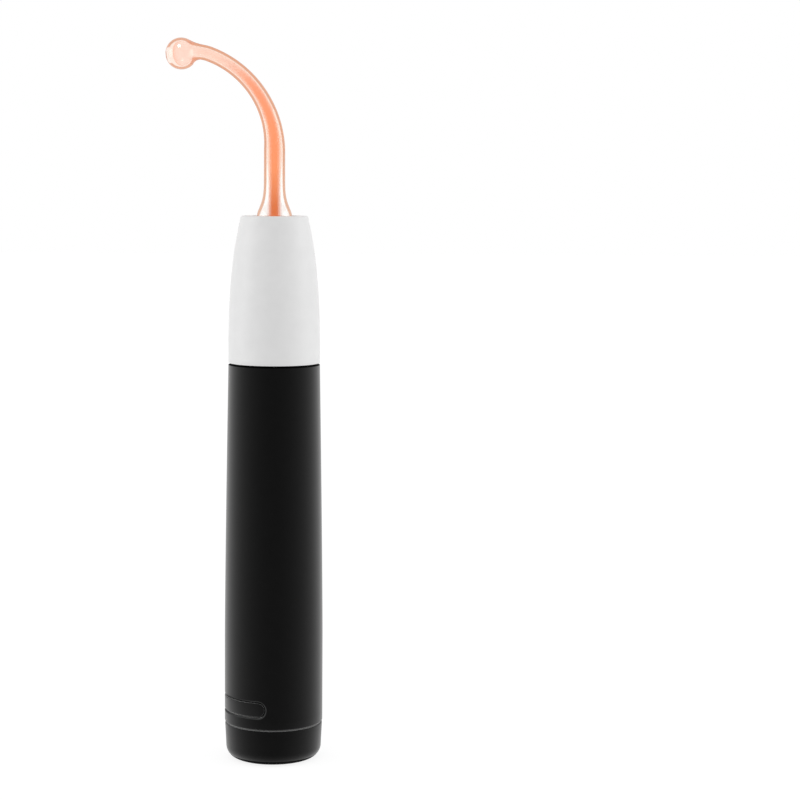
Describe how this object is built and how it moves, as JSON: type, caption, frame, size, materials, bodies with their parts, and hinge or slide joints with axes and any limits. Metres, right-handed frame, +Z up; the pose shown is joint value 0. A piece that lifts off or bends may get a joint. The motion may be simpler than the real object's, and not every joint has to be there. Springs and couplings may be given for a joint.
{
  "type": "high frequency facial wand",
  "caption": "Cordless facial wand: black barrel with turning tail dial and side port cover, white nose cone, and a plug-in bent glass electrode with a ball tip.",
  "frame": {"origin": "centre of the dial's flat lower face, on which the wand stands", "axes": "+Z up along the wand's axis to the electrode; -Y the front, which faces the camera; the electrode leans towards -X"},
  "size_m": [0.0483, 0.0304, 0.222],
  "materials": {
    "barrel_soft_touch": "soft-touch painted ABS",
    "dial_soft_touch": "soft-touch painted ABS",
    "nose_white": "satin white ABS",
    "cover_silicone": "moulded black silicone",
    "socket_resin": "moulded insulating resin",
    "brass": "turned brass",
    "spring_steel": "drawn spring wire",
    "coil_cup_resin": "moulded resin",
    "former_resin": "moulded nylon",
    "ferrite": "sintered ferrite",
    "magnet_wire": "enamelled copper wire",
    "magnet_wire_fine": "fine enamelled copper wire under varnish",
    "wire_insulation": "red PVC insulation",
    "high_voltage_wire": "silicone insulation",
    "chassis_resin": "moulded black ABS",
    "cell_sleeve": "shrunk PVC sleeve",
    "nickel": "nickel strip",
    "foam": "closed-cell foam",
    "circuit_board": "green solder mask on glass laminate",
    "chip_resin": "moulded epoxy",
    "capacitor_body": "ceramic body",
    "link_wire": "yellow PVC insulation",
    "socket_steel": "stamped steel shell",
    "tongue_resin": "moulded resin",
    "control_metal": "zinc case",
    "track_board": "phenolic laminate with a carbon ring",
    "plate_resin": "moulded black ABS",
    "screw_steel": "zinc-plated steel",
    "shaft_metal": "turned aluminium",
    "bush_silicone": "translucent silicone",
    "electrode_glass": "clear blown glass, lit orange by neon gas",
    "cap_nickel": "nickel-plated brass",
    "lead_metal": "nickel wire and plate"
  },
  "bodies": {
    "handle": {"barrel": "barrel_soft_touch", "nose_cone": "nose_white", "cover_anchor": "cover_silicone", "electrode_socket": "socket_resin", "contact_guide": "brass", "contact_spring": "spring_steel", "coil_cup": "coil_cup_resin", "coil_former": "former_resin", "ferrite_core": "ferrite", "primary_winding": "magnet_wire", "secondary_winding": "magnet_wire_fine", "primary_leads": "wire_insulation", "output_lead": "high_voltage_wire", "chassis": "chassis_resin", "battery_cell": "cell_sleeve", "cell_tabs": "nickel", "cell_pad": "foam", "main_board": "circuit_board", "drive_transistor": "chip_resin", "board_chips": "chip_resin", "boost_inductor": "ferrite", "board_capacitors": "capacitor_body", "board_link": "link_wire", "tail_board": "circuit_board", "charge_chip": "chip_resin", "charging_socket": "socket_steel", "socket_tongue": "tongue_resin", "control_case": "control_metal", "control_track": "track_board", "tail_plate": "plate_resin", "tail_screws": "screw_steel"},
    "dial": {"dial": "dial_soft_touch", "control_shaft": "shaft_metal", "control_wiper": "brass"},
    "port_cover": {"port_cover": "cover_silicone"},
    "grip_bush": {"grip_bush": "bush_silicone"},
    "electrode": {"electrode_glass": "electrode_glass", "electrode_cap": "cap_nickel", "electrode_lead": "lead_metal"},
    "contact_plunger": {"contact_plunger": "brass"}
  },
  "joints": [
    {"name": "dial_turn", "type": "hinge", "parent": "handle", "child": "dial", "pos_m": [0, 0, 0.0054], "axis": [0, 0, 1], "range_deg": [0, 300]},
    {"name": "port_cover_open", "type": "hinge", "parent": "handle", "child": "port_cover", "pos_m": [-0.01514, 0.00139, 0.01775], "axis": [0, 0, -1], "range_deg": [0, 100]},
    {"name": "electrode_turn", "type": "hinge", "parent": "handle", "child": "grip_bush", "pos_m": [0, 0, 0.15], "axis": [0, 0, 1], "continuous": true},
    {"name": "electrode_pull", "type": "slide", "parent": "grip_bush", "child": "electrode", "axis": [0, 0, 1], "range_m": [0, 0.038]},
    {"name": "contact_press", "type": "slide", "parent": "handle", "child": "contact_plunger", "axis": [0, 0, 1], "range_m": [-0.001, 0], "stiffness_N_per_m": 400, "springref_m": 0.0016, "deforming": ["contact_spring"]}
  ]
}
